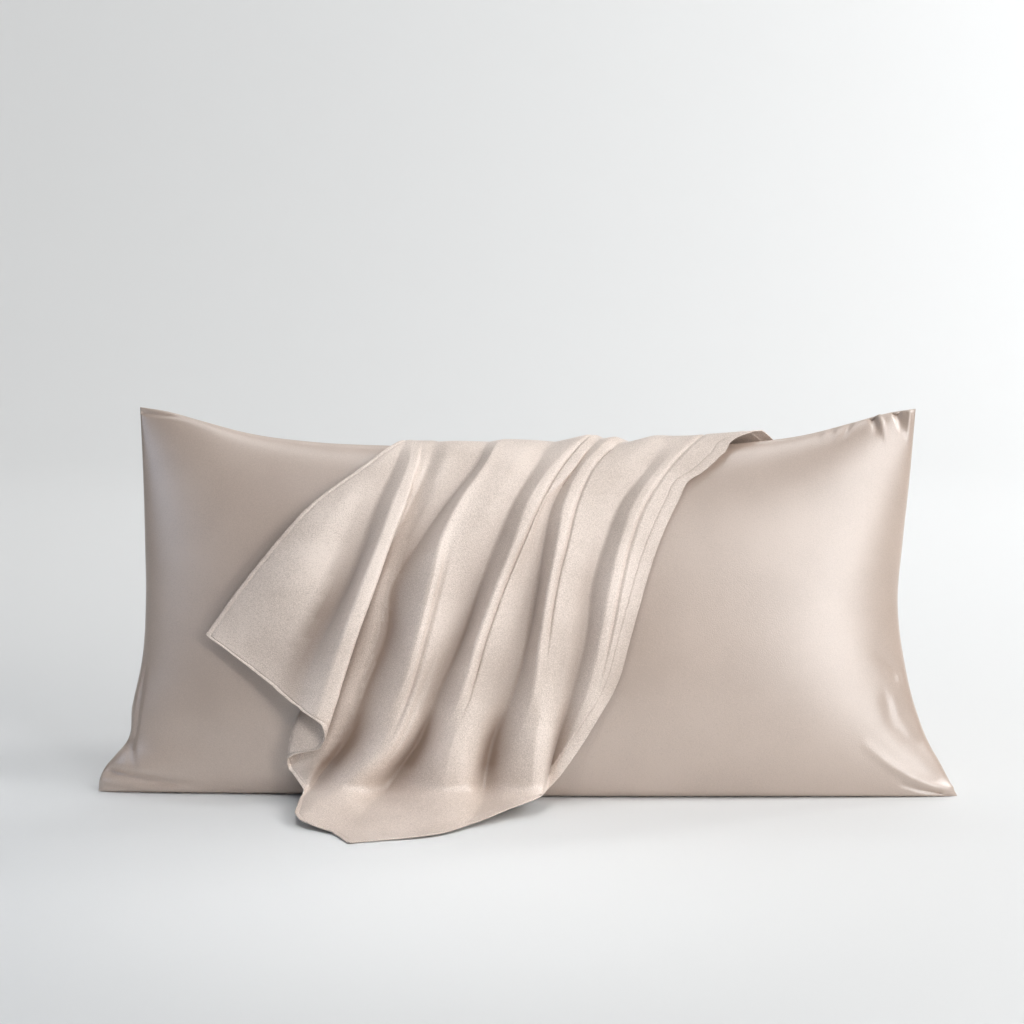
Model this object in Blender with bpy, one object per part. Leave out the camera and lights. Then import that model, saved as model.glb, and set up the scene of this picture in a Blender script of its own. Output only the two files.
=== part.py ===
"""A king-size satin pillowcase, empty, draped over a filled pillow that wears its match.

Metres, +Z up, the front faces -Y.  The pillow stands on its long edge.  The
origin is in the flat foot on which it stands, under the middle of the bottom seam.
"""
import math

import bmesh
import bpy
import numpy as np

MM = 0.001
FRONT, BACK = -1, 1    # sides of the pillow, as signs of y

# ---- the filled pillow ------------------------------------------------------
LEAN = 0.09            # how far its faces lean back, per unit of height
TOE = 30 * MM          # how far the two lower corners are drawn to the front
SINK = 24 * MM         # how much of the lower edge its weight presses flat
CROWN = {FRONT: 84 * MM, BACK: 98 * MM}   # fullest swell from the seam plane
LOW_SWELL, HIGH_SWELL = 0.42, 0.62        # fullness near the bottom and top seams
END_SHARPNESS, END_SWELL = 2.7, 0.62      # fullness near the side seams
FACE_COLUMNS, FACE_ROWS, FOOT_ROWS = 40, 13, 2
COLUMNS_BUNCHED = 0.55                    # how much the columns gather at the sides

# share of the height, half length to the left and to the right (mm)
SIDE_SEAMS = (
    (0.00, 497, 496),
    (0.06, 481, 482),
    (0.12, 467, 467),
    (0.22, 459, 449),
    (0.34, 448, 436),
    (0.50, 444, 428),
    (0.64, 445, 433),
    (0.82, 447, 441),
    (1.00, 450, 447),
)
# share of the half length, height of the top seam (mm)
TOP_SEAM = (
    (0.00, 396),
    (0.35, 397),
    (0.55, 401),
    (0.72, 411),
    (0.84, 425),
    (0.93, 436),
    (1.00, 441),
)

# ---- the draped case --------------------------------------------------------
CLOTH = 2 * MM         # two layers of satin lying flat together
CLEAR = 4.5 * MM       # cloth's middle to the pillow, on its faces
CLEAR_TOP = 8 * MM     # the same where it bends over the top seam
TOP_ZONE = 45 * MM     # height over which the one becomes the other
FLOOR_BEND = 24 * MM   # radius where the hanging cloth turns out along the floor
FLOOR_RUN = 400 * MM   # reach of the path along the floor
BACK_DRIFT = 0.86      # sideways run of the cloth on the back, per unit of fall
STEP = 2 * MM          # spacing of the points that follow the fall
SOFTENING = 15         # points over which the path's bends are softened

# Levels are distances along the fall, from the top seam: behind (-), in front (+).
BACK_LEVELS = (-440, -200, -60)
FRONT_LEVELS = (0, 60, 120, 240, 360, 448, 600)

# One row a fold line, from the left edge of the case to the right edge, in mm.
# First its sideways place at each front level.  Then how far it stands off the
# pillow's face, behind and at each front level.
FOLD_LINES = (
    # at level           0    60   120   240   360   448   600  behind  0   60  120  240  360  448  600
    ("left edge",     (-143, -202, -262, -355, -430, -480, -540), (9,   1,   3,   3,   3,   6,   6,   6)),
    ("left panel",    (-130, -144, -168, -214, -262, -290, -320), (2,   1,   5,   9,  22,  28,  24,  10)),
    ("fold 1 front",  (-113, -131, -152, -190, -231, -252, -262), (16,  6,  18,  24,  30,  28,  20,   8)),
    ("fold 1 back",   (-109, -127, -150, -191, -232, -254, -262), (16,  5,  14,  17,  21,  20,  16,   8)),
    ("fold 2 front",  (-104, -124, -151, -216, -267, -268, -262), (12,  1,   7,  12,  14,  14,   9,   6)),
    ("fold 2 back",   (-100, -121, -148, -216, -267, -268, -262), (9,   0,   3,   5,   6,   6,   6,   4)),
    ("belly",         (-79,   -99, -122, -167, -212, -262, -260), (4,   3,   9,  11,  11,  12,   6,   4)),
    ("deep trough",   (-40,   -67,  -96, -140, -185, -256, -256), (2,   0,   3,   2,   2,   3,   3,   3)),
    ("panel 3 wall",  (-22,   -59,  -88, -129, -168, -248, -250), (18,  4,  14,  18,  18,  16,   6,   3)),
    ("crest 3",       (-13,   -51,  -79, -115, -150, -234, -242), (24,  6,  20,  26,  31,  32,  12,   3)),
    ("trough 4",      (28,      5,  -25,  -71, -129, -166, -190), (2,   0,   5,   7,   5,   5,   3,   1)),
    ("crest 4",       (77,     32,    1,  -48,  -71,  -88, -130), (24,  6,  18,  25,  29,  29,  12,   2)),
    ("crest 4 under", (83,     35,    4,  -46,  -62,  -78, -122), (20,  4,  10,  12,  15,  25,  10,   1)),
    ("trough 5",      (95,     45,   27,    3,  -33,  -46,  -90), (2,   0,   4,   5,   6,  10,   4,   0)),
    ("crest 5",       (117,    71,   52,   24,    9,   -8,  -60), (24,  6,  17,  24,  26,  25,  10,   2)),
    ("crest 5 under", (123,    74,   55,   28,   18,    4,  -50), (20,  4,  10,  12,  15,  22,  10,   2)),
    ("trough 6",      (162,   128,  100,   73,   37,   20,  -30), (2,   0,   3,   4,   4,   8,   4,   1)),
    ("crest 6",       (180,   143,  120,   96,   52,   34,  -10), (16,  4,  11,  16,  19,  16,   6,   2)),
    ("right edge",    (238,   186,  156,  119,   74,   50,   10), (5,   1,   5,   8,  10,  11,   5,   1)),
)
LAST_LINE = len(FOLD_LINES) - 1

# Each short end of the case runs across the fold lines: level, fold line reached.
# In front it goes from the left corner to the one that lies on the floor, and
# behind from the low corner to the high one.
FRONT_END = (
    (255, 0),
    (300, 0.6),
    (341, 1),
    (352, 2),
    (358, 2.5),
    (384, 4.5),
    (400, 5),
    (420, 5.5),
    (440, 7),
    (456, 9),
    (490, 9),
    (590, 10),
)
BACK_END = ((-418, 0), (-330, 6), (-245, 12), (-160, 18))

# Level and sideways place of the right, open edge, where it cuts across the folds.
RIGHT_EDGE = (
    (300, 98),
    (324, 84),
    (380, 50),
    (436, 8),
    (460, -14),
    (506, -54),
    (560, -124),
    (590, -188),
)

# Levels of the rows of faces, closer where the cloth bends or an end turns.
CLOTH_ROWS = (
    -418, -404, -388, -368, -345, -320, -295, -270, -245, -220, -195, -172, -160, -140,
    -118, -96, -74, -54, -36, -20, -6, 6, 18, 32, 48, 66, 84, 104, 126, 150, 175, 200,
    218, 236, 255, 278, 300, 324, 341, 352, 358, 370, 384, 400, 420, 434, 448, 466, 488,
    512, 540, 565, 582, 590,
)
COLUMNS_PER_LINE = 2

SATIN = (0.62, 0.52, 0.45)      # champagne
SATIN_SHADED = (0.60, 0.50, 0.43)
SATIN_ROUGHNESS = 0.38


def through(places, values, at):
    """The smooth curve through the given values, read at any place."""
    places, values, at = (np.asarray(each, float) for each in (places, values, at))
    slopes = np.gradient(values, places)
    k = np.clip(np.searchsorted(places, at, side="right") - 1, 0, len(places) - 2)
    return bridge(values, slopes, places[k + 1] - places[k], k, at - places[k])


def bridge(values, slopes, gap, k, past):
    """A cubic from value k to the next one, keeping both slopes."""
    t = np.clip(past / gap, 0, 1)
    leaving = (1 + 2 * t) * (1 - t) ** 2 * values[k] + t * (1 - t) ** 2 * gap * slopes[k]
    arriving = t * t * (3 - 2 * t) * values[k + 1] - t * t * (1 - t) * gap * slopes[k + 1]
    return leaving + arriving


def half_length(u, share):
    places, left, right = zip(*SIDE_SEAMS)
    return np.where(u < 0, through(places, left, share), through(places, right, share)) * MM


def top_height(u):
    return through(*zip(*TOP_SEAM), np.abs(u)) * MM


def swell(u, v):
    """0 at the seams, 1 at the fullest height of the middle."""
    fullest = LOW_SWELL / (LOW_SWELL + HIGH_SWELL)
    peak = fullest ** LOW_SWELL * (1 - fullest) ** HIGH_SWELL
    along = (1 - np.abs(u) ** END_SHARPNESS) ** END_SWELL
    return along * v ** LOW_SWELL * (1 - v) ** HIGH_SWELL / peak


def pillow_point(u, v, side):
    """u -1..1 along the pillow, v 0..1 from the bottom seam to the top one."""
    top = top_height(u)
    z = np.maximum(-SINK + (top + SINK) * v, 0)
    seam = LEAN * z - TOE * u ** 4 * (1 - z / top) ** 2
    return u * half_length(u, z / top), seam + side * CROWN[side] * swell(u, v), z


def section(x, side, count=121):
    """The pillow's outline where a plane across it at x cuts it, from top to bottom."""
    v = (1 + np.cos(np.linspace(0, math.pi, count))) / 2
    u = np.full(count, x / (SIDE_SEAMS[-1][1] * MM))
    for _ in range(8):
        u = x / half_length(np.full(count, x), pillow_point(u, v, side)[2] / top_height(u))
    _, y, z = pillow_point(u, v, side)
    return y, z


def clear_of_face(x, side):
    """That outline moved out by the clearance, then falling plumb below its belly."""
    y, z = section(x, side)
    dy, dz = np.gradient(y), np.gradient(z)
    size = np.maximum(np.hypot(dy, dz), 1e-9)
    near_top = np.clip((z - z[0] + TOP_ZONE) / TOP_ZONE, 0, 1) ** 2
    gap = CLEAR + (CLEAR_TOP - CLEAR) * near_top
    y = y + side * np.abs(dz) / size * gap
    z = z + np.maximum(side * dy / size, 0) * gap
    plumb = np.maximum.accumulate(y * side) * side
    lowest = FLOOR_BEND if side == FRONT else 0
    return plumb[z > lowest], z[z > lowest]


def evenly(y, z):
    """The same line with a point at every step along it."""
    run = np.r_[0, np.cumsum(np.hypot(np.diff(y), np.diff(z)))]
    even = np.arange(0, run[-1], STEP)
    return np.interp(even, run, y), np.interp(even, run, z)


def softened(values):
    weights = np.hanning(SOFTENING + 2)[1:-1]
    return np.convolve(np.pad(values, SOFTENING // 2, mode="edge"), weights / weights.sum(), "valid")


def fall_path(x, levels):
    """Where the cloth hangs at x: y and z at each level."""
    back_y, back_z = clear_of_face(x, BACK)
    front_y, front_z = clear_of_face(x, FRONT)
    bend = np.linspace(0, math.pi / 2, 13)
    bend_y = front_y[-1] - FLOOR_BEND * (1 - np.cos(bend))
    bend_z = CLOTH / 2 + FLOOR_BEND * (1 - np.sin(bend))
    y = np.r_[back_y[-1], back_y[::-1], front_y, bend_y, bend_y[-1] - FLOOR_RUN]
    z = np.r_[-TOP_ZONE, back_z[::-1], front_z, bend_z, CLOTH / 2]
    y, z = (softened(line) for line in evenly(y, z))
    run = np.r_[0, np.cumsum(np.hypot(np.diff(y), np.diff(z)))]
    level = run - run[np.argmax(z)]
    return np.interp(levels, level, y), np.interp(levels, level, z)


STATIONS = np.arange(-420, 440, 20) * MM
LEVELS = np.arange(-450 * MM, 620 * MM, STEP)
PATH_Y, PATH_Z = np.moveaxis([fall_path(x, LEVELS) for x in STATIONS], 1, 0)
DOWN_Y, DOWN_Z = np.gradient(PATH_Y, axis=1), np.gradient(PATH_Z, axis=1)


def hang(x, level, off):
    """y and z of the cloth at sideways place x, a level down and off from the face."""
    across_at = np.clip((x - STATIONS[0]) / (STATIONS[1] - STATIONS[0]), 0, len(STATIONS) - 1.001)
    down_at = np.clip((level - LEVELS[0]) / STEP, 0, len(LEVELS) - 1.001)
    i, j = across_at.astype(int), down_at.astype(int)
    a, b = across_at - i, down_at - j

    def read(table):
        here = table[i, j] * (1 - b) + table[i, j + 1] * b
        beside = table[i + 1, j] * (1 - b) + table[i + 1, j + 1] * b
        return here * (1 - a) + beside * a

    dy, dz = read(DOWN_Y), read(DOWN_Z)
    size = np.hypot(dy, dz)
    return read(PATH_Y) + dz / size * off, read(PATH_Z) - dy / size * off


def fold_lines_at(level):
    """Sideways place and standoff of every fold line at one level (mm)."""
    places, offs = [], []
    for _, front_places, (behind, *front_offs) in FOLD_LINES:
        back_places = [front_places[0] - BACK_DRIFT * back for back in BACK_LEVELS]
        back_offs = [behind, behind, behind / 2]
        places.append(through(BACK_LEVELS + FRONT_LEVELS, back_places + list(front_places), level))
        offs.append(through(BACK_LEVELS + FRONT_LEVELS, back_offs + front_offs, level))
    return np.array(places), np.array(offs)


def across(values, knots, t):
    """The smooth curve through the fold lines' values; t counts the lines passed."""
    gaps = np.diff(knots)
    rates = np.diff(values) / gaps
    inner = (rates[:-1] * gaps[1:] + rates[1:] * gaps[:-1]) / (gaps[:-1] + gaps[1:])
    k = np.clip(t.astype(int), 0, LAST_LINE - 1)
    return bridge(values, np.r_[rates[0], inner, rates[-1]], gaps[k], k, (t - k) * gaps[k])


def cloth_row(level, columns):
    """x, y and z of one row of the cloth, from its left outline to its right one."""
    places, offs = fold_lines_at(level)
    knots = np.r_[0, np.cumsum(np.sqrt(np.hypot(np.diff(places), np.diff(offs))))]
    first = np.interp(level, *zip(*FRONT_END))
    last = np.interp(level, *zip(*BACK_END))
    if level > RIGHT_EDGE[0][0]:
        fine = np.linspace(first, last, 1200)
        inside = fine[across(places, knots, fine) <= through(*zip(*RIGHT_EDGE), level)]
        last = inside[-1] if len(inside) else first
    t = np.clip(np.linspace(0, LAST_LINE, columns), first, last)
    x = across(places, knots, t) * MM
    off = np.maximum(across(offs, knots, t), 0) * MM
    y, z = hang(x, np.full(columns, level * MM), off)
    return np.column_stack((x, y, np.maximum(z, CLOTH / 2)))


def satin(name, colour):
    made = bpy.data.materials.new(name)
    made.use_nodes = True
    shader = made.node_tree.nodes["Principled BSDF"]
    shader.inputs["Base Color"].default_value = (*colour, 1)
    shader.inputs["Roughness"].default_value = SATIN_ROUGHNESS
    shader.inputs["Metallic"].default_value = 0
    return made


def lay_grid(bm, rows):
    """A grid of faces with its corners on the rows of points."""
    made = bmesh.ops.create_grid(bm, x_segments=len(rows[0]) - 1, y_segments=len(rows) - 1, size=1)
    for vert, place in zip(made["verts"], np.concatenate(rows)):
        vert.co = place
    return made["verts"]


def to_object(name, bm, weld, material):
    bmesh.ops.remove_doubles(bm, verts=bm.verts, dist=weld)
    bmesh.ops.dissolve_degenerate(bm, edges=bm.edges, dist=weld / 2)
    bmesh.ops.recalc_face_normals(bm, faces=bm.faces)
    mesh = bpy.data.meshes.new(name)
    bm.to_mesh(mesh)
    bm.free()
    mesh.shade_smooth()
    mesh.materials.append(material)
    made = bpy.data.objects.new(name, mesh)
    bpy.context.scene.collection.objects.link(made)
    return made


def split_from_corner(corner):
    """The seams' corner gets thickness only if its face is split through it."""
    face = corner.link_faces[0]
    neighbours = {edge.other_vert(corner) for edge in corner.link_edges}
    opposite = next(vert for vert in face.verts if vert is not corner and vert not in neighbours)
    bmesh.utils.face_split(face, corner, opposite)


def build_pillow():
    even = np.linspace(-1, 1, FACE_COLUMNS + 1)
    u = COLUMNS_BUNCHED * np.sin(even * math.pi / 2) + (1 - COLUMNS_BUNCHED) * even
    foot = SINK / (top_height(u) + SINK)
    bunched = (1 - np.cos(np.linspace(0, math.pi, FACE_ROWS + 1))) / 2
    rows = [foot * row / FOOT_ROWS for row in range(FOOT_ROWS)]
    rows += [foot + (1 - foot) * share for share in bunched]
    bm = bmesh.new()
    for side in (FRONT, BACK):
        verts = lay_grid(bm, [np.column_stack(pillow_point(u, v, side)) for v in rows])
        split_from_corner(verts[-1])
        split_from_corner(verts[-1 - FACE_COLUMNS])
    return to_object("pillow", bm, 0.02 * MM, satin("satin_over_filling", SATIN_SHADED))


def build_draped_case():
    bm = bmesh.new()
    columns = COLUMNS_PER_LINE * LAST_LINE + 1
    lay_grid(bm, [cloth_row(level, columns) for level in CLOTH_ROWS])
    made = to_object("draped_case", bm, 0.3 * MM, satin("satin_draped", SATIN))
    layers = made.modifiers.new("both_layers", "SOLIDIFY")
    layers.thickness = CLOTH
    layers.offset = 0
    return made


for old in list(bpy.data.objects):
    bpy.data.objects.remove(old, do_unlink=True)
build_pillow()
build_draped_case()
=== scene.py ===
"""Looks of a king-size satin pillowcase draped over a filled pillow that wears its match.

Metres, +Z up, the front faces -Y.  Both pieces are made here again from the sizes of
the solids, at the fineness of sewn satin, and replace the two plain solids.
"""
import math

import bmesh
import bpy
import numpy as np
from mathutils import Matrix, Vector


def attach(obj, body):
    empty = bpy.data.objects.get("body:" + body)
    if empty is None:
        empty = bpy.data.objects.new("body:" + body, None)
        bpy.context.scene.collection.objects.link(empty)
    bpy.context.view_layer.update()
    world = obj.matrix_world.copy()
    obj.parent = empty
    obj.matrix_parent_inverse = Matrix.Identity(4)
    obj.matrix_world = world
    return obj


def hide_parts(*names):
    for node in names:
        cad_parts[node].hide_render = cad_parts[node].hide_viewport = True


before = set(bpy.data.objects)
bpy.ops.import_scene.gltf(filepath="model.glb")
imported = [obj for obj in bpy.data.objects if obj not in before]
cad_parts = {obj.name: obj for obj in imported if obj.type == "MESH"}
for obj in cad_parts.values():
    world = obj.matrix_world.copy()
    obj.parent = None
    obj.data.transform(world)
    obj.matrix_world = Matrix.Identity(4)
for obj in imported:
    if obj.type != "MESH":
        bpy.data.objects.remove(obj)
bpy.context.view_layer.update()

MM = 0.001
FRONT, BACK = -1, 1    # sides of the pillow, as signs of y

# ---- camera -----------------------------------------------------------------
CAMERA_PLACE = (0.0323, -2.5782, 0.7331)
CAMERA_TURN = (81.0, 0.0, 1.11)      # degrees
LENS, SENSOR = 80.0, 36.0            # mm

# ---- light ------------------------------------------------------------------
LIT_HEIGHT, SOFTBOX_REACH = 0.25, 3.2    # m, height they are aimed at and how far off they are
HORIZON, TO_CEILING = 0.04, 0.12         # strength of the pale room: level, and added straight above
# name, turn to the right and rise (degrees), width and height (m), power (W)
SOFTBOXES = (
    ("key low", 40, 6, 0.5, 1.1, 21),
    ("key middle", 32, 28, 0.5, 1.1, 19),
    ("side", 66, 28, 0.5, 1.1, 14),
    ("side high", 80, 40, 0.6, 1.1, 20),
    ("right top", 60, 72, 1.2, 1.2, 5),
    ("front top", 0, 78, 1.2, 1.2, 15),
    ("back left", -150, 60, 1.2, 1.2, 6),
    ("back right", 150, 50, 1.2, 1.2, 5),
)
# name, place and aim (m), width and height (m), power (W), tint, spread of its beam (degrees)
SMALL_LAMPS = (
    ("left card", (-1.4, -0.7, 0.75), (-0.46, 0, 0.22), 0.5, 0.7, 2.4, "#D2E6FF", 180),
    ("corner lamp", (-0.1, -1.1, 1.3), (-0.1, -0.22, 0.03), 0.25, 0.25, 0.36, "#FFFFFF", 44),
)
# for the paper behind: name, place and aim (m), width and height (m), power (W)
PAPER_LAMPS = (
    ("paper lamp right", (3.4, 1.9, 2.4), (1.7, 4.2, 0.6), 1.2, 1.2, 89),
    ("paper lamp middle", (0.2, 1.5, 3.0), (0.0, 4.2, 0.5), 1.2, 1.2, 24),
    ("paper lamp left", (-3.2, 1.9, 2.4), (-1.6, 4.2, 0.6), 1.2, 1.2, 23),
    ("floor lamp", (2.2, -0.4, 1.8), (1.0, 0.9, 0.0), 1.2, 1.2, 10),
)
# the paper sweep (m)
PAPER_FRONT, PAPER_BACK, PAPER_HALF_WIDTH, PAPER_HEIGHT, PAPER_BEND = -9, 4.4, 10, 7, 1.6

# ---- the filled pillow ------------------------------------------------------
LEAN = 0.09            # how far its faces lean back, per unit of height
TOE = 30 * MM          # how far the two lower corners are drawn to the front
SINK = 24 * MM         # how much of the lower edge its weight presses flat
FOOT_RIM, FOOT_GAP = 8 * MM, 0.65 * MM    # rounding of the foot's rim
CROWN = {FRONT: 84 * MM, BACK: 98 * MM}   # fullest swell from the seam plane
LOW_SWELL, HIGH_SWELL = 0.42, 0.62        # fullness near the bottom and top seams
END_SHARPNESS, END_SWELL = 2.7, 0.62      # fullness near the side seams
FACE_COLUMNS, FACE_ROWS, FOOT_ROWS = 230, 104, 5
COLUMNS_BUNCHED = 0.55                    # how much the columns gather at the sides
OUTLINE_POINTS, OUTLINE_ROUNDS = 121, 8   # points of an outline across it, and rounds to find them

# share of the height, half length to the left and to the right (mm)
SIDE_SEAMS = (
    (0.00, 497, 496),
    (0.03, 496, 489),
    (0.06, 490, 482),
    (0.09, 479, 475),
    (0.12, 467, 467),
    (0.22, 459, 449),
    (0.34, 448, 436),
    (0.50, 444, 428),
    (0.64, 445, 433),
    (0.82, 447, 441),
    (1.00, 450, 447),
)
# share of the half length, height of the top seam (mm)
TOP_SEAM = (
    (0.00, 396),
    (0.35, 397),
    (0.55, 401),
    (0.72, 411),
    (0.84, 425),
    (0.93, 436),
    (1.00, 441),
)

# Folds and puckers pressed into the pillow's front: name, line over the face as
# (x, z) in mm, height at its start and end (- is a groove), width above and below.
PILLOW_FOLDS = (
    ("corner flap groove", ((-484, 24), (-458, 20), (-430, 16), (-400, 12), (-384, 11)),
     -7.0, -0.6, 5.0, 2.5),
    ("corner flap ridge", ((-490, 14), (-462, 11), (-430, 7), (-390, 5)),
     3.4, 0.3, 4.0, 4.0),
    ("corner flap shoulder", ((-458, 56), (-456, 44), (-452, 27)),
     -4.0, -1.0, 3.0, 7.0),
    ("left seam line", ((-441, 150), (-446, 120), (-451, 85), (-455, 62)),
     -1.6, -2.8, 2.5, 2.5),
    ("left upper line", ((-448, 434), (-420, 431), (-388, 428)),
     -2.2, -0.2, 2.5, 2.0),
    ("right pucker 1", ((424, 438), (428, 428), (431, 412)),
     -6.5, -0.2, 5.0, 4.0),
    ("right pucker 2", ((397, 431), (400, 424), (402, 410)),
     -5.0, -0.2, 3.0, 4.0),
    ("right pucker ridge", ((405, 431), (409, 418), (414, 400)),
     2.6, 0.2, 2.5, 2.5),
    ("right corner strip", ((440, 436), (439, 420), (438, 402)),
     2.4, 0.2, 2.0, 2.5),
    ("seam pucker 1", ((371, 423), (366, 415), (360, 404)),
     -2.2, -0.1, 2.5, 2.5),
    ("seam pucker 2", ((352, 419), (349, 411), (346, 402)),
     -1.8, -0.1, 2.5, 2.5),
    ("seam pucker 3", ((336, 415), (334, 408), (333, 400)),
     -1.4, -0.1, 2.5, 2.5),
    ("right side hollow", ((424, 140), (412, 152), (394, 168)),
     -2.6, -0.2, 4.0, 9.0),
    ("right corner wedge", ((414, 112), (420, 88), (436, 70), (452, 62)),
     -1.6, -0.6, 4.0, 9.0),
    ("right corner ridge", ((388, 62), (417, 38), (440, 24), (466, 13), (488, 9)),
     0.6, 3.0, 6.0, 5.0),
    ("right corner crease", ((430, 16), (450, 9), (474, 4)),
     -1.0, -2.6, 3.0, 2.0),
)

# ---- the draped case --------------------------------------------------------
CLOTH = 1.4 * MM       # two layers of satin lying flat together
CLEAR = 4.5 * MM       # cloth's middle to the pillow, on its faces
CLEAR_TOP = 6 * MM     # the same where it bends over the top seam
TOP_ZONE = 45 * MM     # height over which the one becomes the other
FLOOR_BEND = 17 * MM   # radius where the hanging cloth turns out along the floor
RAMP_HEIGHT, RAMP_RUN = 16 * MM, 90 * MM   # how it slopes down to the floor
FLOOR_RUN = 400 * MM   # reach of the path along the floor
GATHERS, GATHERED = 430 * MM, 0.84          # level from which it is gathered, and how much
TURNS_OUT = 300 * MM   # level below which it may turn out
FLOOR_RELIEF = 0.2     # height of a fold on the floor, per unit of its depth
BACK_DRIFT = 0.86      # sideways run of the cloth on the back, per unit of fall
STEP = 2 * MM          # spacing of the points that follow the fall
BEND_POINTS = 13       # points round the bend
SOFTENING = 11         # points over which the path's bends are softened

# Levels are distances along the fall, from the top seam: behind (-), in front (+).
BACK_LEVELS = (-440, -200, -60)
FRONT_LEVELS = (0, 45, 90, 135, 180, 240, 300, 360, 404, 448, 600)

# One row a fold line, from the left edge of the case to the right edge, in mm.
# First its sideways place at each front level.  Then how far it stands off the
# pillow's face, behind and at each front level.  Each fold rises steeply from its
# trough to its crest, has a fine second line beside the crest, and falls gently.
FOLD_LINES = (
    ("left edge", (-143, -189, -243, -281, -316, -356, -393, -430, -455, -480, -540),
     (6, 1, 4, 7, 9, 10, 7, 6, 6, 6, 6, 6)),
    ("left panel", (-141, -172, -209, -237, -262, -296, -322, -330, -335, -340, -380),
     (6, 1, 5, 10, 13, 15, 9, 11, 12, 22, 20, 8)),
    ("trough 1", (-138, -153, -170, -183, -199, -229, -254, -265, -273, -276, -300),
     (6, 1, 2, 2, 3, 4, 10, 19, 22, 19, 16, 8)),
    ("crest 1", (-129, -136, -151, -166, -183, -205, -226, -247, -261, -267, -280),
     (14, 1, 9, 16, 20, 24, 28, 30, 31, 26, 22, 8)),
    ("fold 1 front", (-120, -127, -137, -153, -168, -190, -210, -229, -241, -250, -262),
     (14, 1, 8, 13, 17, 20, 24, 27, 28, 24, 20, 8)),
    ("fold 1 back", (-117, -125, -137, -154, -169, -191, -211, -231, -243, -253, -262),
     (7, 1, 5, 8, 11, 13, 16, 18, 19, 18, 16, 8)),
    ("fold 2 front", (-112, -120, -138, -159, -184, -216, -243, -267, -270, -268, -262),
     (10, 1, 4, 6, 8, 9, 10, 11, 12, 11, 9, 6)),
    ("fold 2 back", (-104, -114, -133, -155, -181, -216, -243, -267, -270, -268, -260),
     (7, 0, 2, 2, 2, 2, 3, 3, 4, 5, 6, 4)),
    ("belly", (-86, -97, -112, -134, -164, -177, -205, -227, -246, -261, -290),
     (12, 1, 7, 6, 3, 3, 5, 8, 12, 14, 14, 3)),
    ("trough 3", (-44, -60, -92, -122, -149, -157, -180, -205, -237, -256, -275),
     (2, 0, 1, 2, 2, 1, 1, 3, 4, 6, 12, 3)),
    ("crest 3", (-28, -47, -75, -96, -106, -122, -142, -180, -221, -244, -262),
     (28, 3, 13, 19, 22, 24, 26, 24, 23, 25, 20, 3)),
    ("crest 3 line", (-18, -38, -64, -85, -96, -112, -130, -160, -203, -230, -250),
     (26, 3, 11, 16, 18, 19, 22, 22, 33, 36, 28, 3)),
    ("panel 3", (8, -14, -38, -61, -77, -96, -118, -146, -180, -203, -222),
     (16, 2, 9, 12, 13, 11, 15, 17, 30, 32, 25, 2)),
    ("trough 4", (32, 8, -16, -34, -50, -71, -98, -123, -153, -170, -192),
     (2, 0, 3, 3, 3, 2, 2, 5, 5, 6, 8, 2)),
    ("crest 4", (66, 30, 2, -13, -31, -53, -72, -102, -122, -128, -140),
     (30, 8, 11, 16, 20, 23, 26, 26, 23, 25, 20, 2)),
    ("crest 4 line", (74, 41, 17, -2, -21, -43, -61, -84, -90, -90, -118),
     (28, 9, 9, 13, 16, 19, 22, 22, 34, 37, 30, 2)),
    ("panel 4", (80, 55, 20, 5, -10, -26, -44, -62, -66, -67, -104),
     (16, 5, 7, 9, 11, 13, 16, 17, 30, 33, 26, 2)),
    ("trough 5", (86, 54, 30, 20, 14, 3, -14, -38, -47, -50, -86),
     (2, 4, 3, 3, 3, 2, 3, 6, 5, 6, 8, 1)),
    ("crest 5", (99, 64, 43, 35, 26, 16, 8, -12, -24, -26, -74),
     (28, 6, 10, 15, 19, 22, 24, 24, 23, 24, 18, 2)),
    ("crest 5 line", (112, 77, 58, 47, 36, 26, 19, 10, 7, 4, -50),
     (26, 0, 8, 12, 15, 18, 21, 21, 31, 33, 26, 2)),
    ("panel 5", (146, 112, 83, 67, 54, 44, 34, 24, 19, 14, -35),
     (14, 7, 6, 8, 10, 12, 15, 16, 25, 28, 28, 2)),
    ("trough 6", (166, 137, 105, 88, 75, 68, 53, 35, 24, 18, -20),
     (3, 6, 3, 3, 3, 2, 3, 6, 8, 8, 6, 1)),
    ("crest 6", (190, 152, 122, 106, 94, 83, 68, 46, 34, 26, -14),
     (22, 6, 9, 13, 16, 18, 19, 18, 15, 12, 8, 2)),
    ("ridge", (203, 164, 135, 118, 107, 95, 80, 62, 46, 34, -8),
     (18, 7, 9, 12, 14, 16, 17, 16, 13, 11, 7, 2)),
    ("right edge", (264, 210, 172, 150, 136, 119, 99, 76, 62, 50, 10),
     (5, 8, 3, 4, 5, 6, 7, 7, 7, 6, 5, 1)),
)
LAST_LINE = len(FOLD_LINES) - 1
LINE_NAMES = [name for name, _, _ in FOLD_LINES]
# How sharply the cloth turns at a fold line: 0 is rounded, 1 a crease.
CREST_CRISP, TROUGH_CRISP, OTHER_CRISP = 0.8, 0.9, 0.3
CRISP = np.array([OTHER_CRISP if "line" in name
                  else CREST_CRISP if name.startswith("crest")
                  else TROUGH_CRISP if name.startswith("trough")
                  else OTHER_CRISP for name in LINE_NAMES])

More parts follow.
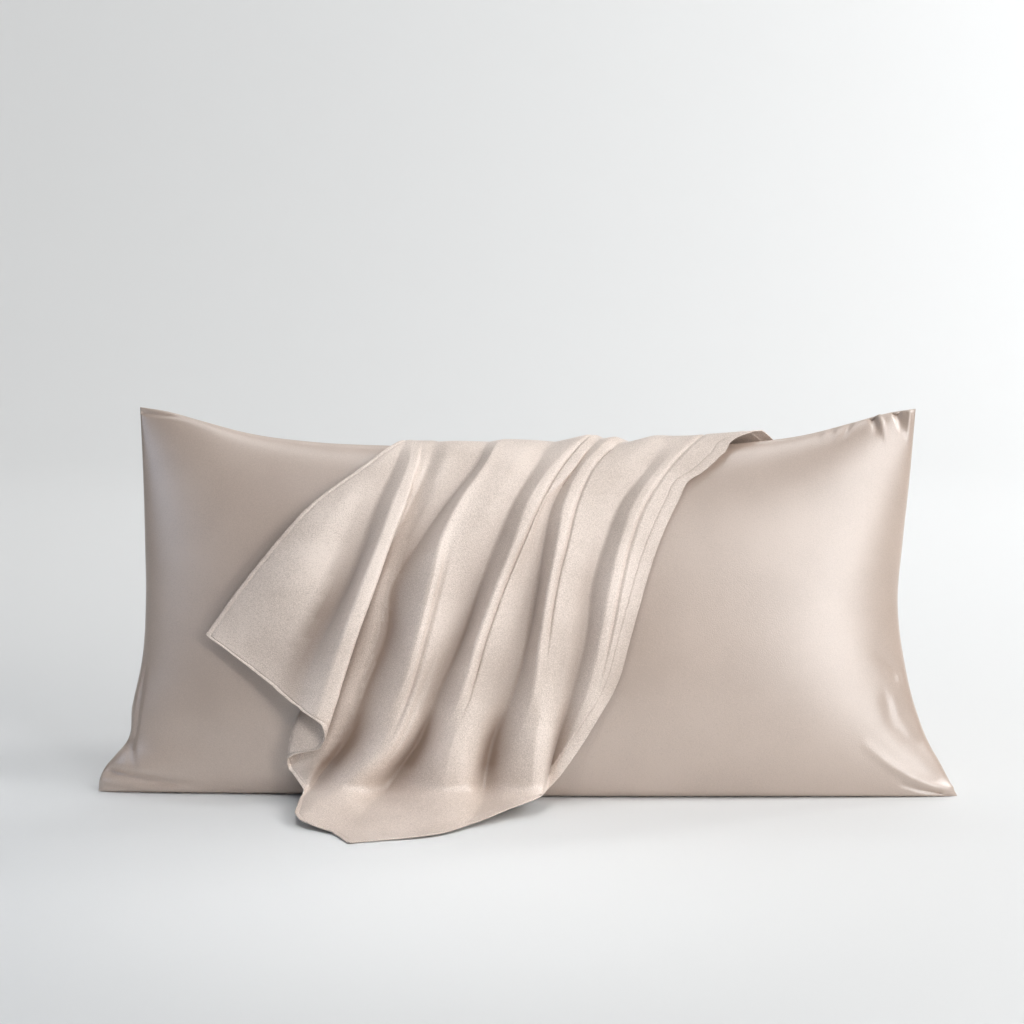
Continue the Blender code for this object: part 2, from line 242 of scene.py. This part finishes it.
# Each short end of the case runs across the fold lines: level, fold line reached.
FRONT_END = (
    (255, 0),
    (261, 0.27),
    (267, 0.51),
    (279, 0.96),
    (291, 1.3),
    (303, 1.62),
    (315, 1.92),
    (321, 2.25),
    (327, 2.88),
    (333, 3.45),
    (345, 3.87),
    (357, 4.45),
    (363, 4.9),
    (372, 5.6),
    (390, 6.5),
    (398, 7.2),
    (412, 7.7),
    (426, 8.4),
    (440, 9.0),
    (462, 9.6),
    (484, 10),
    (510, 11.3),
    (537, 12.3),
    (590, 13.1),
)
BACK_END = ((-418, 0), (-330, 8), (-245, 16), (-160, 24))

END_FLARE, END_FLARE_REACH = 4.5, 16     # mm, how the short end stands off

# Where the left edge's seam puckers (level), and how deep, wide and long (mm).
SEAM_PUCKERS = (86, 97, 118, 136, 158, 172)
PUCKER_DEPTH, PUCKER_WIDTH, PUCKER_LENGTH = 1.8, 2.4, 9
PUCKER_SLANT = 0.3     # how it rises from the seam, per unit of its length

# Grooves along the folds, first the three where a fold rolls over and leaves a fine
# crease.  Each has its fold line, the levels between which it runs, its depth, and its
# width to the left and to the right (mm).
CREASES = (
    ("crest 4 line", -60, 340, 2.6, 3.0, 0.9),
    ("crest 5 line", -60, 275, 2.6, 3.0, 0.9),
    ("ridge", -60, 300, 2.4, 3.0, 0.9),
    ("crest 3 line", 130, 372, 3.2, 2.8, 2.4),
    ("panel 3", 235, 425, 2.2, 3.5, 3.0),
    ("panel 4", 290, 440, 1.8, 5.0, 5.0),
    ("panel 5", 215, 345, 1.4, 5.0, 3.0),
)
CREASE_FADE = 60                 # mm of level over which it fades in and out
FINE_CREASE = 1                  # mm, one narrower than this on its right gets columns of its own
CREASE_COLUMNS = (-0.07, 0.07)   # and they lie here beside it, in shares of a line

# Level and sideways place of the right, open edge, where it cuts across the folds.
RIGHT_EDGE = (
    (-6, 264),
    (3, 260),
    (9, 243),
    (14, 235),
    (26, 227),
    (36, 216),
    (50, 201),
    (61, 185),
    (83, 173),
    (132, 150),
    (180, 134),
    (240, 117),
    (300, 98),
    (324, 84),
    (380, 50),
    (436, 8),
    (460, -14),
    (506, -54),
    (560, -124),
    (590, -188),
)

# From this level on (mm), the rows of faces are this far apart (mm).
ROW_STEPS = ((-418, 8.0), (-24, 3.4), (40, 3.2), (312, 2.4), (366, 3.6), (590, 0))
COLUMNS_PER_LINE = 7
EDGE_SEARCH, ROW_POINTS = 1200, 1600     # points at which a row looks for its open edge, and is drawn
BACK_FROM = 0.3        # it faces back past this share of its furthest reach behind

# The hem turned over along the open edge, and the seam along the sewn long edge:
# how wide and how thick, then how far from the edge its stitches run, and how deep
# they pull a groove.  Both are in mm, and so are the columns of their own, counted
# from the edge.
HEM_WIDTH, HEM_STEP, HEM_STITCHES, HEM_GROOVE = 14.8, 0.6, 14.8, 0.5
SEAM_WIDTH, SEAM_STEP, SEAM_STITCHES, SEAM_GROOVE = 5.0, 0.4, 5.4, 0.4
GROOVE_WIDTH = 0.5
HEM_COLUMNS = (17.5, 16.0, 15.2, 14.6, 13.4, 9.0, 4.0, 1.6, 0.6, 0)
SEAM_COLUMNS = (0, 0.6, 1.6, 4.5, 5.4, 6.4, 9.0)
SHORT_ROW = 60         # a row shorter than this draws hem and seam in

# A point lies in a hollow when a crest beside it, within so many columns and so near,
# stands out further.  This depth gets the full painted shade, and near the floor the painted shade
# fades.
HOLLOW_COLUMNS, HOLLOW_WIDTH, HOLLOW_DEPTH = 24, 40 * MM, 24 * MM
OFF_FLOOR = 50 * MM
PAINTED_SHADE_CURVE = 1.5       # how slowly the painted shade starts with the depth

# ---- satin ------------------------------------------------------------------
GRAIN, CLOUD = MM / 0.9, MM / 0.009      # size of a glint (1.1 mm) and of a cloudy patch (111 mm)

# ---- shape functions --------------------------------------------------------
def through(places, values, at):
    """The smooth curve through the given values, read at any place."""
    places, values, at = (np.asarray(each, float) for each in (places, values, at))
    slopes = np.gradient(values, places)
    k = np.clip(np.searchsorted(places, at, side="right") - 1, 0, len(places) - 2)
    return bridge(values, slopes, slopes, places[k + 1] - places[k], k, at - places[k])


def bridge(values, slopes_before, slopes_after, gap, k, past):
    """A cubic from value k to the next one, with the slope after k and before the next."""
    t = np.clip(past / gap, 0, 1)
    leaving = (1 + 2 * t) * (1 - t) ** 2 * values[k] + t * (1 - t) ** 2 * gap * slopes_after[k]
    arriving = t * t * (3 - 2 * t) * values[k + 1] - t * t * (1 - t) * gap * slopes_before[k + 1]
    return leaving + arriving


def half_length(u, share):
    """From the pillow's middle to its side seam, at a share of its height."""
    places, left, right = zip(*SIDE_SEAMS)
    return np.where(u < 0, through(places, left, share), through(places, right, share)) * MM


def top_height(u):
    """Height of the top seam."""
    return through(*zip(*TOP_SEAM), np.abs(u)) * MM


def swell(u, v):
    """0 at the seams, 1 at the fullest height of the middle."""
    fullest = LOW_SWELL / (LOW_SWELL + HIGH_SWELL)
    peak = fullest ** LOW_SWELL * (1 - fullest) ** HIGH_SWELL
    along = (1 - np.abs(u) ** END_SHARPNESS) ** END_SWELL
    return along * v ** LOW_SWELL * (1 - v) ** HIGH_SWELL / peak


def rounded_under(z):
    """Heights pressed flat on the floor, with a rounded rim."""
    return np.maximum((z + np.sqrt(z * z + FOOT_RIM ** 2)) / 2 - FOOT_GAP, 0)


def pillow_point(u, v, side):
    """u -1..1 along the pillow, v 0..1 from the bottom seam to the top one."""
    top = top_height(u)
    z = rounded_under(-SINK + (top + SINK) * v)
    seam = LEAN * z - TOE * u ** 4 * (1 - z / top) ** 2
    return u * half_length(u, z / top), seam + side * CROWN[side] * swell(u, v), z


def section(x, side):
    """The pillow's outline where a plane across it at x cuts it, from top to bottom."""
    v = (1 + np.cos(np.linspace(0, math.pi, OUTLINE_POINTS))) / 2
    u = np.full(OUTLINE_POINTS, x / (SIDE_SEAMS[-1][1] * MM))
    for _ in range(OUTLINE_ROUNDS):
        u = x / half_length(np.full(OUTLINE_POINTS, x), pillow_point(u, v, side)[2] / top_height(u))
    _, y, z = pillow_point(u, v, side)
    return y, z


def clear_of_face(x, side):
    """That outline moved out by the clearance, then falling plumb below its belly."""
    y, z = section(x, side)
    dy, dz = np.gradient(y), np.gradient(z)
    size = np.maximum(np.hypot(dy, dz), 1e-9)
    near_top = np.clip((z - z[0] + TOP_ZONE) / TOP_ZONE, 0, 1) ** 2
    gap = CLEAR + (CLEAR_TOP - CLEAR) * near_top
    y = y + side * np.abs(dz) / size * gap
    z = z + np.maximum(side * dy / size, 0) * gap
    plumb = np.maximum.accumulate(y * side) * side
    lowest = RAMP_HEIGHT + FLOOR_BEND if side == FRONT else 0
    return plumb[z > lowest], z[z > lowest]


def evenly(y, z):
    """The same line with a point at every step along it."""
    run = np.r_[0, np.cumsum(np.hypot(np.diff(y), np.diff(z)))]
    even = np.arange(0, run[-1], STEP)
    return np.interp(even, run, y), np.interp(even, run, z)


def softened(values):
    """The same values with their corners rounded off."""
    weights = np.hanning(SOFTENING + 2)[1:-1]
    return np.convolve(np.pad(values, SOFTENING // 2, mode="edge"), weights / weights.sum(), "valid")


def fall_path(x, levels):
    """Where the cloth hangs at x: y and z at each level."""
    back_y, back_z = clear_of_face(x, BACK)
    front_y, front_z = clear_of_face(x, FRONT)
    bend = np.linspace(0, math.pi / 2 - math.atan(RAMP_HEIGHT / RAMP_RUN), BEND_POINTS)
    bend_y = front_y[-1] - FLOOR_BEND * (1 - np.cos(bend))
    bend_z = CLOTH / 2 + RAMP_HEIGHT + FLOOR_BEND * (1 - np.sin(bend))
    ramp_y = bend_y[-1] - RAMP_RUN
    y = np.r_[back_y[-1], back_y[::-1], front_y, bend_y, ramp_y, ramp_y - FLOOR_RUN]
    z = np.r_[-TOP_ZONE, back_z[::-1], front_z, bend_z, CLOTH / 2, CLOTH / 2]
    y, z = (softened(line) for line in evenly(y, z))
    run = np.r_[0, np.cumsum(np.hypot(np.diff(y), np.diff(z)))]
    level = run - run[np.argmax(z)]
    return np.interp(levels, level, y), np.interp(levels, level, z)


STATIONS = np.arange(-420, 440, 20) * MM
LEVELS = np.arange(-450 * MM, 620 * MM, STEP)
PATH_Y, PATH_Z = np.moveaxis([fall_path(x, LEVELS) for x in STATIONS], 1, 0)
DOWN_Y, DOWN_Z = np.gradient(PATH_Y, axis=1), np.gradient(PATH_Z, axis=1)


def hang(x, level, off):
    """y and z of the cloth at sideways place x, a level down and off from the face."""
    across_at = np.clip((x - STATIONS[0]) / (STATIONS[1] - STATIONS[0]), 0, len(STATIONS) - 1.001)
    level = np.where(level > GATHERS, GATHERS + (level - GATHERS) * GATHERED, level)
    down_at = np.clip((level - LEVELS[0]) / STEP, 0, len(LEVELS) - 1.001)
    i, j = across_at.astype(int), down_at.astype(int)
    a, b = across_at - i, down_at - j

    def read(table):
        here = table[i, j] * (1 - b) + table[i, j + 1] * b
        beside = table[i + 1, j] * (1 - b) + table[i + 1, j + 1] * b
        return here * (1 - a) + beside * a

    dy, dz = read(DOWN_Y), read(DOWN_Z)
    size = np.hypot(dy, dz)
    out, up = dz / size, -dy / size
    # where it turns out along the floor it keeps the distance that it had while it hung
    turning = (level > TURNS_OUT) & (up > 0)
    out = np.where(turning, -1, out)
    up = np.where(turning, up * FLOOR_RELIEF, up)
    return read(PATH_Y) + out * off, read(PATH_Z) + up * off


def fold_lines_at(level):
    """Sideways place and standoff of every fold line at one level (mm)."""
    places, offs = [], []
    for _, front_places, (behind, *front_offs) in FOLD_LINES:
        back_places = [front_places[0] - BACK_DRIFT * back for back in BACK_LEVELS]
        back_offs = [behind, behind, behind / 2]
        places.append(through(BACK_LEVELS + FRONT_LEVELS, back_places + list(front_places), level))
        offs.append(through(BACK_LEVELS + FRONT_LEVELS, back_offs + front_offs, level))
    return np.array(places), np.array(offs)


def across(values, knots, t):
    """The smooth curve through the fold lines' values; t counts the lines passed."""
    gaps = np.diff(knots)
    rates = np.diff(values) / gaps
    before, after = rates[np.r_[0, :LAST_LINE]], rates[np.r_[:LAST_LINE, LAST_LINE - 1]]
    rounded = rates[np.r_[0, :LAST_LINE]].copy()
    rounded[1:-1] = (rates[:-1] * gaps[1:] + rates[1:] * gaps[:-1]) / (gaps[:-1] + gaps[1:])
    rounded[-1] = rates[-1]
    k = np.clip(t.astype(int), 0, LAST_LINE - 1)
    return bridge(values, rounded + (before - rounded) * CRISP, rounded + (after - rounded) * CRISP,
                  gaps[k], k, (t - k) * gaps[k])


def detailed(off, level, fine, run):
    """The standoff along a row, with the short end's flare, the seam's puckers and the creases."""
    if level > 0:
        ends, lines = zip(*FRONT_END)
        to_end = np.interp(fine, lines, ends) - level
        off = off + END_FLARE * np.exp(-np.maximum(to_end, 0) / END_FLARE_REACH) * (fine < lines[-1])
    for place in SEAM_PUCKERS:
        past = level - place + run * PUCKER_SLANT
        off = off - PUCKER_DEPTH * np.exp(-(past / PUCKER_WIDTH) ** 2 - run / PUCKER_LENGTH)
    for name, start, end, depth, left, right in CREASES:
        past = run - np.interp(LINE_NAMES.index(name), fine, run)
        fading = np.clip(min(end - level, level - start) / CREASE_FADE, 0, 1)
        off = off - depth * fading * np.exp(-(past / np.where(past < 0, left, right)) ** 2)
    return off


def cloth_row(level, columns):
    """x, y and z of one row of the cloth, from its left outline to its right one."""
    places, offs = fold_lines_at(level)
    knots = np.r_[0, np.cumsum(np.sqrt(np.hypot(np.diff(places), np.diff(offs))))]
    first = np.interp(level, *zip(*FRONT_END))
    last = np.interp(level, *zip(*BACK_END))
    if level > RIGHT_EDGE[0][0]:
        fine = np.linspace(first, last, EDGE_SEARCH)
        inside = fine[across(places, knots, fine) <= through(*zip(*RIGHT_EDGE), level)]
        last = inside[-1] if len(inside) else first

    fine = np.linspace(first, last, ROW_POINTS)
    x = across(places, knots, fine)
    off = np.maximum(across(offs, knots, fine), 0)
    run = np.r_[0, np.cumsum(np.hypot(np.diff(x), np.diff(off)))]
    off = detailed(off, level, fine, run)
    room = min(1.0, run[-1] / SHORT_ROW)
    seam = np.interp(np.array(SEAM_COLUMNS) * room, run, fine)
    hem = np.interp(run[-1] - np.array(HEM_COLUMNS) * room, run, fine)
    own = [LINE_NAMES.index(name) + beside for name, *_, right in CREASES if right < FINE_CREASE
           for beside in CREASE_COLUMNS]
    between = np.clip(np.sort(np.r_[np.linspace(0, LAST_LINE, columns), own]), seam[-1], hem[0])
    t = np.r_[seam, between, hem]
    from_seam, from_hem = np.interp(t, fine, run), run[-1] - np.interp(t, fine, run)
    x = np.interp(t, fine, x) * MM
    off = np.maximum(np.interp(t, fine, off), 0) * MM
    y, z = hang(x, np.full(len(t), level * MM), off)
    return np.column_stack((x, y, np.maximum(z, CLOTH / 2))), from_seam, from_hem


def painted_fold_shade(grid):
    """Painted shade for each point: 0 on a crest, 1 deep in a hollow, by how far the crests beside it
    stand out.
    """
    out = -grid[:, :, 1]
    x = grid[:, :, 0]
    depth = np.zeros(out.shape)
    for shift in range(-HOLLOW_COLUMNS, HOLLOW_COLUMNS + 1):
        beside, near = np.roll(out, shift, axis=1), np.roll(x, shift, axis=1)
        close = np.abs(near - x) < HOLLOW_WIDTH
        depth = np.maximum(depth, np.where(close, beside - out, 0))
    off_floor = np.clip(grid[:, :, 2] / OFF_FLOOR, 0, 1)
    return np.clip(depth / HOLLOW_DEPTH, 0, 1) * off_floor


def normals_of(grid, out):
    """Unit normals of a grid of points, each turned to the side that out points to."""
    down, along = np.gradient(grid, axis=0), np.gradient(grid, axis=1)
    normals = np.cross(along, down)
    normals /= np.maximum(np.linalg.norm(normals, axis=2, keepdims=True), 1e-12)
    return normals * np.where((normals * out).sum(axis=2, keepdims=True) < 0, -1, 1)


def from_line(line, x, z):
    """Distance to a line of points, which side of it, and how far along it (0 to 1)."""
    line = np.array(line, float)
    ends = np.r_[0, np.cumsum(np.linalg.norm(np.diff(line, axis=0), axis=1))]
    nearest = np.full(x.shape, 1e9)
    side, along = np.zeros(x.shape), np.zeros(x.shape)
    for k, (start, end) in enumerate(zip(line[:-1], line[1:])):
        way = end - start
        t = np.clip(((x - start[0]) * way[0] + (z - start[1]) * way[1]) / (way @ way), 0, 1)
        dx, dz = x - start[0] - t * way[0], z - start[1] - t * way[1]
        away = np.hypot(dx, dz)
        closer = away < nearest
        nearest = np.where(closer, away, nearest)
        side = np.where(closer, np.sign(way[0] * dz - way[1] * dx), side)
        along = np.where(closer, (ends[k] + t * (ends[k + 1] - ends[k])) / ends[-1], along)
    return nearest, side, along


# ---- materials --------------------------------------------------------------
def linear(code):
    """Linear colour of an sRGB hex code."""
    parts = [int(code[k:k + 2], 16) / 255 for k in (1, 3, 5)]
    return tuple(p / 12.92 if p <= 0.04045 else ((p + 0.055) / 1.055) ** 2.4 for p in parts) + (1.0,)


def add(tree, kind, links=(), **settings):
    """A node with its settings; links is pairs of its input and what feeds or sets it."""
    made = tree.nodes.new(kind)
    for name, value in settings.items():
        setattr(made, name, value)
    for name, value in links:
        if isinstance(value, bpy.types.NodeSocket):
            tree.links.new(value, made.inputs[name])
        else:
            made.inputs[name].default_value = value
    return made


def woven_satin(name, light, deep, hollow, gloss, sheen, relief):
    """Polyester satin, woven with long floats and calendered.

    To the eye: a smooth champagne cloth with a wide, soft gloss, faint cloudy patches
    and a fine glitter of single floats.  Deep between two folds its colour is painted
    darker and browner: painted shade for the shade and the light bounced from satin to
    satin there.  Gloss is its refractive index, higher than plain polyester's because
    the floats lie flat.
    """
    made = bpy.data.materials.new(name)
    made.use_nodes = True
    tree = made.node_tree
    shader = tree.nodes["Principled BSDF"]
    place = add(tree, "ShaderNodeTexCoord").outputs["Object"]
    # A float is 0.1 mm wide.  Drawn 1.1 mm wide, the finest that shows at this distance.
    glitter = add(tree, "ShaderNodeTexNoise", [("Vector", place), ("Scale", 1 / GRAIN), ("Detail", 1)])
    clouds = add(tree, "ShaderNodeTexNoise", [("Vector", place), ("Scale", 1 / CLOUD), ("Detail", 3)])
    both = add(tree, "ShaderNodeMath", [(0, glitter.outputs["Fac"]), (1, clouds.outputs["Fac"])],
               operation="ADD")
    shade = add(tree, "ShaderNodeMapRange", [
        ("Value", both.outputs[0]), ("From Min", 0.8), ("From Max", 1.2)])
    colour = add(tree, "ShaderNodeMix", [
        (0, shade.outputs[0]), (6, linear(deep)), (7, linear(light))], data_type="RGBA")
    # Painted shade: deep in the folds the colour is mixed towards the darker, browner hollow colour.
    painted_shade = add(tree, "ShaderNodeAttribute", attribute_name="painted_fold_shade")
    shaded_colour = add(tree, "ShaderNodeMix", [
        (0, painted_shade.outputs["Fac"]), (6, colour.outputs[2]), (7, linear(hollow))], data_type="RGBA")
    tree.links.new(shaded_colour.outputs[2], shader.inputs["Base Color"])
    bump = add(tree, "ShaderNodeBump", [
        ("Strength", relief), ("Distance", 0.5 * MM), ("Height", glitter.outputs["Fac"])])
    tree.links.new(bump.outputs[0], shader.inputs["Normal"])
    shader.inputs["Roughness"].default_value = 0.38
    shader.inputs["IOR"].default_value = gloss
    shader.inputs["Sheen Weight"].default_value = sheen
    shader.inputs["Sheen Roughness"].default_value = 0.35
    return made


# ---- meshes -----------------------------------------------------------------
def lay_grid(bm, grid):
    """A grid of faces with its corners on the rows of points."""
    made = bmesh.ops.create_grid(bm, x_segments=len(grid[0]) - 1, y_segments=len(grid) - 1, size=1)
    for vert, place in zip(made["verts"], grid.reshape(-1, 3)):
        vert.co = place
    return made["verts"]


def to_object(name, bm, weld, material):
    """The finished piece, in the scene, with points closer than weld joined."""
    bmesh.ops.remove_doubles(bm, verts=bm.verts, dist=weld)
    bmesh.ops.dissolve_degenerate(bm, edges=bm.edges, dist=weld / 2)
    bmesh.ops.recalc_face_normals(bm, faces=bm.faces)
    mesh = bpy.data.meshes.new(name)
    bm.to_mesh(mesh)
    bm.free()
    mesh.shade_smooth()
    mesh.materials.append(material)
    made = bpy.data.objects.new(name, mesh)
    bpy.context.scene.collection.objects.link(made)
    return made


def pillow_face(side):
    """Rows of points over one face, from under its foot to the top seam."""
    even = np.linspace(-1, 1, FACE_COLUMNS + 1)
    u = COLUMNS_BUNCHED * np.sin(even * math.pi / 2) + (1 - COLUMNS_BUNCHED) * even
    foot = SINK / (top_height(u) + SINK)
    bunched = (1 - np.cos(np.linspace(0, math.pi, FACE_ROWS + 1))) / 2
    rows = [foot * row / FOOT_ROWS for row in range(FOOT_ROWS)]
    rows += [foot + (1 - foot) * share for share in bunched]
    grid = np.array([np.column_stack(pillow_point(u, v, side)) for v in rows])
    if side == FRONT:
        x, z = grid[:, :, 0] / MM, grid[:, :, 2] / MM
        height = np.zeros(x.shape)
        for _, line, start, end, above, below in PILLOW_FOLDS:
            away, which, along = from_line(line, x, z)
            width = np.where(which > 0, above, below)
            height += (start + (end - start) * along) * np.exp(-(away / width) ** 2)
        seams = np.zeros(x.shape)
        seams[FOOT_ROWS + 1:-1, 1:-1] = 1
        grid += normals_of(grid, np.array([0, side, 0])) * (height * seams)[:, :, None] * MM
    return grid


def sew_pillow():
    """The filled pillow in its case: two faces joined along the seams and under the foot."""
    bm = bmesh.new()
    for side in (FRONT, BACK):
        lay_grid(bm, pillow_face(side))
    # The same satin as the draped case's.  The case's colours are painted lighter, which is painted
    # light, so the two differ.  Its last colour, a painted shade for folds, shows nowhere, as the pillow
    # carries no painted fold shade.
    satin = woven_satin("woven_satin_over_filling", "#C0AC9E", "#B29E90", "#A8907E",
                        gloss=2.4, sheen=0.05, relief=0.3)
    return to_object("filled_pillow", bm, 0.02 * MM, satin)


def stitched(from_edge, width, step, stitches, groove):
    """Height of a turned-over edge (mm), with the groove that its stitches pull."""
    return step * (from_edge < width) - groove * np.exp(-((from_edge - stitches) / GROOVE_WIDTH) ** 2)


def row_levels():
    """Level of every row of the cloth, from the back end to the front one (mm)."""
    levels = []
    for (start, step), (end, _) in zip(ROW_STEPS[:-1], ROW_STEPS[1:]):
        levels += list(np.linspace(start, end, round((end - start) / step), endpoint=False))
    return levels + [ROW_STEPS[-1][0]]


def sew_draped_case():
    """The empty case, thrown over the pillow: one sheet as thick as its two layers."""
    columns = COLUMNS_PER_LINE * LAST_LINE + 1
    rows = [cloth_row(level, columns) for level in row_levels()]
    grid = np.array([row[0] for row in rows])
    from_seam, from_hem = np.array([row[1] for row in rows]), np.array([row[2] for row in rows])
    hem = stitched(from_hem, HEM_WIDTH, HEM_STEP, HEM_STITCHES, HEM_GROOVE)
    seam = stitched(from_seam, SEAM_WIDTH, SEAM_STEP, SEAM_STITCHES, SEAM_GROOVE)
    y = grid[:, :, 1:2]
    out = np.where(y > y.max() * BACK_FROM, BACK, FRONT) * np.array([0, 1, 0])
    grid += normals_of(grid, out) * (hem + seam)[:, :, None] * MM
    grid[:, :, 2] = np.maximum(grid[:, :, 2], CLOTH / 2)
    bm = bmesh.new()
    lay_grid(bm, grid)
    # Painted shade deep in the folds, kept on each point for the satin's colour.
    painted_shade_layer = bm.verts.layers.float.new("painted_fold_shade")
    for vert, depth in zip(bm.verts, painted_fold_shade(grid).ravel()):
        vert[painted_shade_layer] = depth ** PAINTED_SHADE_CURVE
    # The same satin as the pillow's, with colours painted lighter: painted light for the brighter light
    # on the draped case.  The last colour is the painted shade deep in its folds.
    satin = woven_satin("woven_satin_draped_painted_lighter", "#EBDCD1", "#C6B6AA", "#907B6D",
                        gloss=1.75, sheen=0.3, relief=0.8)
    made = to_object("draped_pillowcase", bm, 0.1 * MM, satin)
    layers = made.modifiers.new("both_layers", "SOLIDIFY")
    layers.thickness = CLOTH
    layers.offset = 0
    return made


# ---- stage ------------------------------------------------------------------
def studio_paper():
    """Matte paper roll: a plain pale ground without gloss."""
    made = bpy.data.materials.new("matte_studio_paper")
    made.use_nodes = True
    shader = made.node_tree.nodes["Principled BSDF"]
    shader.inputs["Base Color"].default_value = linear("#E4E5E5")
    shader.inputs["Roughness"].default_value = 0.9
    shader.inputs["Specular IOR Level"].default_value = 0.1
    return made


def hang_paper():
    """A paper sweep: floor, a wide curve and a wall."""
    bend = np.linspace(0, math.pi / 2, 17)
    y = np.r_[PAPER_FRONT, -4, 0, PAPER_BACK - PAPER_BEND * (1 - np.sin(bend)), PAPER_BACK]
    z = np.r_[0, 0, 0, PAPER_BEND * (1 - np.cos(bend)), PAPER_HEIGHT]
    x = np.linspace(-PAPER_HALF_WIDTH, PAPER_HALF_WIDTH, 9)
    grid = np.array([np.column_stack((x, np.full(len(x), a), np.full(len(x), b))) for a, b in zip(y, z)])
    bm = bmesh.new()
    lay_grid(bm, grid)
    made = to_object("studio_paper", bm, 0.001 * MM, studio_paper())
    if made.data.polygons[0].normal.z < 0:
        made.data.flip_normals()


def light(name, place, aim, width, height, power, tint="#FFFFFF", beam=180):
    """A flat lamp at a place, aimed at a point, and not seen itself."""
    data = bpy.data.lights.new(name, "AREA")
    data.shape = "RECTANGLE"
    data.size, data.size_y, data.energy = width, height, power
    data.color, data.spread = linear(tint)[:3], math.radians(beam)
    made = bpy.data.objects.new(name, data)
    made.location = place
    made.rotation_euler = (Vector(aim) - Vector(place)).to_track_quat("-Z", "Y").to_euler()
    made.visible_camera = False
    bpy.context.scene.collection.objects.link(made)


def softbox(name, turn, rise, width, height, power):
    """A softbox aimed at the pillow: turned to the right of the front, and up (degrees)."""
    turn, rise = math.radians(turn), math.radians(rise)
    way = Vector((math.sin(turn) * math.cos(rise), -math.cos(turn) * math.cos(rise), math.sin(rise)))
    aim = Vector((0, 0, LIT_HEIGHT))
    light(name, aim + way * SOFTBOX_REACH, aim, width, height, power)


def set_camera():
    data = bpy.data.cameras.new("camera")
    data.lens, data.sensor_width, data.sensor_fit = LENS, SENSOR, "HORIZONTAL"
    made = bpy.data.objects.new("camera", data)
    made.location = CAMERA_PLACE
    made.rotation_euler = [math.radians(turn) for turn in CAMERA_TURN]
    bpy.context.scene.collection.objects.link(made)
    bpy.context.scene.camera = made


def set_light():
    """A dim pale room, brighter overhead, with the lamps of the tables above."""
    world = bpy.data.worlds.new("soft_room")
    bpy.context.scene.world = world
    world.use_nodes = True
    tree = world.node_tree
    sky = tree.nodes["Background"]
    sky.inputs["Color"].default_value = linear("#FFFFFF")
    way = add(tree, "ShaderNodeSeparateXYZ", [(0, add(tree, "ShaderNodeTexCoord").outputs["Generated"])])
    rise = add(tree, "ShaderNodeMath", [(0, way.outputs["Z"]), (1, TO_CEILING), (2, HORIZON)],
               operation="MULTIPLY_ADD", use_clamp=True)
    tree.links.new(rise.outputs[0], sky.inputs["Strength"])
    for each in SOFTBOXES:
        softbox(*each)
    for each in SMALL_LAMPS + PAPER_LAMPS:
        light(*each)
    bpy.context.scene.view_settings.view_transform = "Standard"


# ---- making -----------------------------------------------------------------
set_camera()
set_light()
hang_paper()

pillow = sew_pillow()
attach(pillow, "root")
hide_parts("pillow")

draped = sew_draped_case()
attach(draped, "root")
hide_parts("draped_case")
